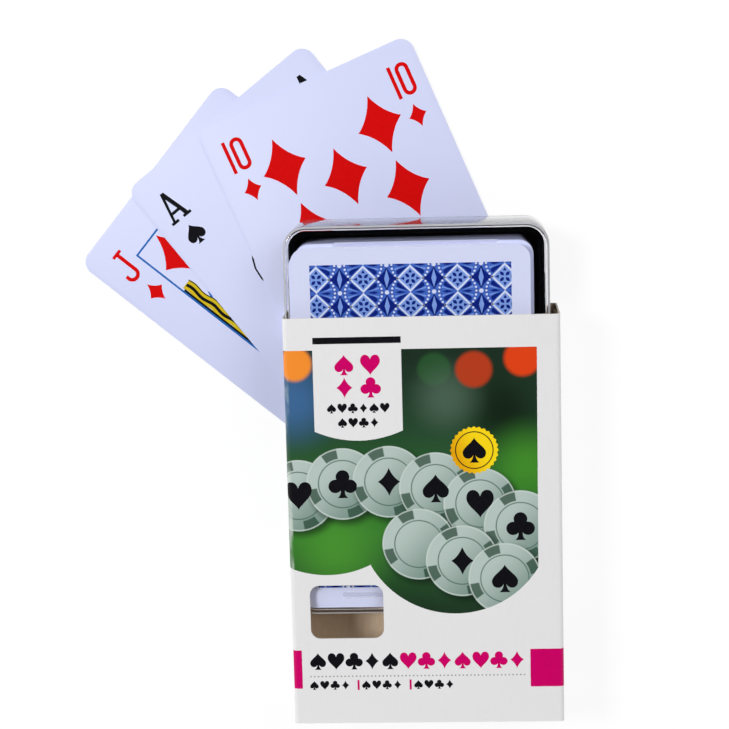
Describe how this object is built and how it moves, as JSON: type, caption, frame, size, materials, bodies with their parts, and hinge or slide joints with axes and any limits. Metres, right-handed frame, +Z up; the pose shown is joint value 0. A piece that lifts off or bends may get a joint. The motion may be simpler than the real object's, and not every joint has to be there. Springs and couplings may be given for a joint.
{
  "type": "playing card deck",
  "caption": "Playing cards in a clear-lidded plastic case that slides in a windowed cardboard sleeve, with loose cards fanned behind it.",
  "frame": {"origin": "on the table surface, under the middle of the sleeve's mouth", "axes": "+X across the sleeve to the right, +Y along the sleeve out of its mouth, the way the case slides out, +Z up from the table through the front panel"},
  "size_m": [0.1184, 0.1687, 0.0205],
  "materials": {
    "board": "coated white board, printed",
    "black_plastic": "glossy black",
    "clear_plastic": "clear and glossy",
    "card_plastic": "satin, printed"
  },
  "bodies": {
    "sleeve": {"sleeve": "board"},
    "case": {"case_base": "black_plastic", "case_lid": "clear_plastic"},
    "deck": {"ace_of_clubs": "card_plastic", "two_of_clubs": "card_plastic", "three_of_clubs": "card_plastic", "four_of_clubs": "card_plastic", "five_of_clubs": "card_plastic", "six_of_clubs": "card_plastic", "seven_of_clubs": "card_plastic", "eight_of_clubs": "card_plastic", "nine_of_clubs": "card_plastic", "ten_of_clubs": "card_plastic", "jack_of_clubs": "card_plastic", "queen_of_clubs": "card_plastic", "king_of_clubs": "card_plastic", "ace_of_diamonds": "card_plastic", "two_of_diamonds": "card_plastic", "three_of_diamonds": "card_plastic", "four_of_diamonds": "card_plastic", "five_of_diamonds": "card_plastic", "six_of_diamonds": "card_plastic", "seven_of_diamonds": "card_plastic", "eight_of_diamonds": "card_plastic", "nine_of_diamonds": "card_plastic", "queen_of_diamonds": "card_plastic", "king_of_diamonds": "card_plastic", "ace_of_hearts": "card_plastic", "two_of_hearts": "card_plastic", "three_of_hearts": "card_plastic", "four_of_hearts": "card_plastic", "five_of_hearts": "card_plastic", "six_of_hearts": "card_plastic", "seven_of_hearts": "card_plastic", "eight_of_hearts": "card_plastic", "nine_of_hearts": "card_plastic", "ten_of_hearts": "card_plastic", "jack_of_hearts": "card_plastic", "queen_of_hearts": "card_plastic", "king_of_hearts": "card_plastic", "two_of_spades": "card_plastic", "three_of_spades": "card_plastic", "four_of_spades": "card_plastic", "five_of_spades": "card_plastic", "six_of_spades": "card_plastic", "seven_of_spades": "card_plastic", "eight_of_spades": "card_plastic", "nine_of_spades": "card_plastic", "ten_of_spades": "card_plastic", "jack_of_spades": "card_plastic", "queen_of_spades": "card_plastic", "king_of_spades": "card_plastic", "black_joker": "card_plastic", "red_joker": "card_plastic"},
    "loose_jack": {"jack_of_diamonds": "card_plastic"},
    "loose_ace": {"ace_of_spades": "card_plastic"},
    "loose_ten": {"ten_of_diamonds": "card_plastic"}
  },
  "joints": [
    {"name": "case_slide", "type": "slide", "parent": "sleeve", "child": "case", "axis": [0, 1, 0], "range_m": [-0.0251, 0.0745]},
    {"name": "deck_shift", "type": "slide", "parent": "case", "child": "deck", "axis": [0, 1, 0], "range_m": [0, 0.002]},
    {"name": "jack_fan", "type": "hinge", "parent": "sleeve", "child": "loose_jack", "pos_m": [-0.0055, -0.0265, 0], "axis": [0, 0, 1], "range_deg": [-50.4, 30]},
    {"name": "ace_fan", "type": "hinge", "parent": "sleeve", "child": "loose_ace", "pos_m": [-0.0055, -0.0265, 0], "axis": [0, 0, 1], "range_deg": [-37.8, 30]},
    {"name": "ten_fan", "type": "hinge", "parent": "sleeve", "child": "loose_ten", "pos_m": [-0.0055, -0.0265, 0], "axis": [0, 0, 1], "range_deg": [-22.8, 30]}
  ]
}
